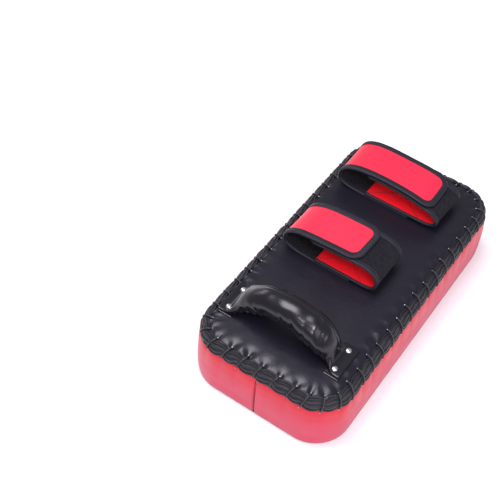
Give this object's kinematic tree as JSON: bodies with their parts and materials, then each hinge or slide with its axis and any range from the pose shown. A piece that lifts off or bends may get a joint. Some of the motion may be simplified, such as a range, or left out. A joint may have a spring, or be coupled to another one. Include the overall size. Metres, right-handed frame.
{
  "type": "thai pad",
  "caption": "Padded forearm shield with a flat striking face, two hook-and-loop forearm straps and a padded hand grip on its back.",
  "frame": {"origin": "centre of the striking face, which the pad lies on", "axes": "+Z out of the pad's back, where the straps and the grip are; +Y along the pad, away from the hand grip; +X towards the side where the straps close"},
  "size_m": [0.2, 0.4, 0.1343],
  "materials": {
    "foam": "closed-cell foam, matte",
    "black_cover": "artificial leather, satin, fine grain",
    "side_red": "artificial leather, satin, fine grain",
    "edge_tape": "ribbed binding tape, matte",
    "lace": "waxed cord",
    "grip_leather": "artificial leather, glossy where it is stretched",
    "rivet_metal": "nickel plated",
    "strap_red": "artificial leather, satin",
    "hook_tape": "hook tape",
    "loop_tape": "loop tape, fuzzy pile"
  },
  "bodies": {
    "pad": {"strike_foam": "foam", "core_foam": "foam", "back_foam": "foam", "strike_cover": "black_cover", "side_band_right": "side_red", "side_band_left": "side_red", "back_cover": "black_cover", "rim_tape": "edge_tape", "rim_lace": "lace", "grip_patch_left": "grip_leather", "grip_patch_right": "grip_leather", "grip_tab_left": "grip_leather", "grip_tab_right": "grip_leather", "rivet_left_front": "rivet_metal", "rivet_washer_left_front": "rivet_metal", "rivet_left_rear": "rivet_metal", "rivet_washer_left_rear": "rivet_metal", "rivet_right_front": "rivet_metal", "rivet_washer_right_front": "rivet_metal", "rivet_right_rear": "rivet_metal", "rivet_washer_right_rear": "rivet_metal", "forearm_foot_face": "strap_red", "forearm_foot_tape": "hook_tape", "forearm_foot_binding_front": "edge_tape", "forearm_foot_binding_rear": "edge_tape", "forearm_base_tape": "loop_tape", "forearm_base_lining": "strap_red", "forearm_base_binding_front": "edge_tape", "forearm_base_binding_rear": "edge_tape", "wrist_foot_face": "strap_red", "wrist_foot_tape": "hook_tape", "wrist_foot_binding_front": "edge_tape", "wrist_foot_binding_rear": "edge_tape", "wrist_base_tape": "loop_tape", "wrist_base_lining": "strap_red", "wrist_base_binding_front": "edge_tape", "wrist_base_binding_rear": "edge_tape"},
    "grip": {"grip_sleeve": "grip_leather", "grip_core": "foam"},
    "forearm_hook": {"forearm_hook_face": "strap_red", "forearm_hook_tape": "hook_tape", "forearm_hook_binding": "edge_tape"},
    "forearm_loop": {"forearm_loop_tape": "loop_tape", "forearm_loop_lining": "strap_red", "forearm_loop_binding": "edge_tape"},
    "wrist_hook": {"wrist_hook_face": "strap_red", "wrist_hook_tape": "hook_tape", "wrist_hook_binding": "edge_tape"},
    "wrist_loop": {"wrist_loop_tape": "loop_tape", "wrist_loop_lining": "strap_red", "wrist_loop_binding": "edge_tape"}
  },
  "joints": [
    {"name": "grip_rock", "type": "hinge", "parent": "pad", "child": "grip", "pos_m": [-0.004, -0.131, 0.084], "axis": [1, 0, 0], "range_deg": [-28, 28], "stiffness_Nm_per_rad": 0.15},
    {"name": "forearm_flap", "type": "hinge", "parent": "pad", "child": "forearm_hook", "pos_m": [-0.0804, 0.1245, 0.098], "axis": [0, -1, 0], "range_deg": [0, 140]},
    {"name": "forearm_keeper", "type": "hinge", "parent": "pad", "child": "forearm_loop", "pos_m": [0.0629, 0.1245, 0.1], "axis": [0, 1, 0], "range_deg": [0, 42]},
    {"name": "wrist_flap", "type": "hinge", "parent": "pad", "child": "wrist_hook", "pos_m": [-0.0779, -0.003, 0.098], "axis": [0, -1, 0], "range_deg": [0, 140]},
    {"name": "wrist_keeper", "type": "hinge", "parent": "pad", "child": "wrist_loop", "pos_m": [0.0509, -0.003, 0.098], "axis": [0, 1, 0], "range_deg": [0, 42]}
  ],
  "couplings": [
    {"joint": "forearm_keeper", "follows": "forearm_flap", "ratio": 0.3},
    {"joint": "wrist_keeper", "follows": "wrist_flap", "ratio": 0.3}
  ]
}
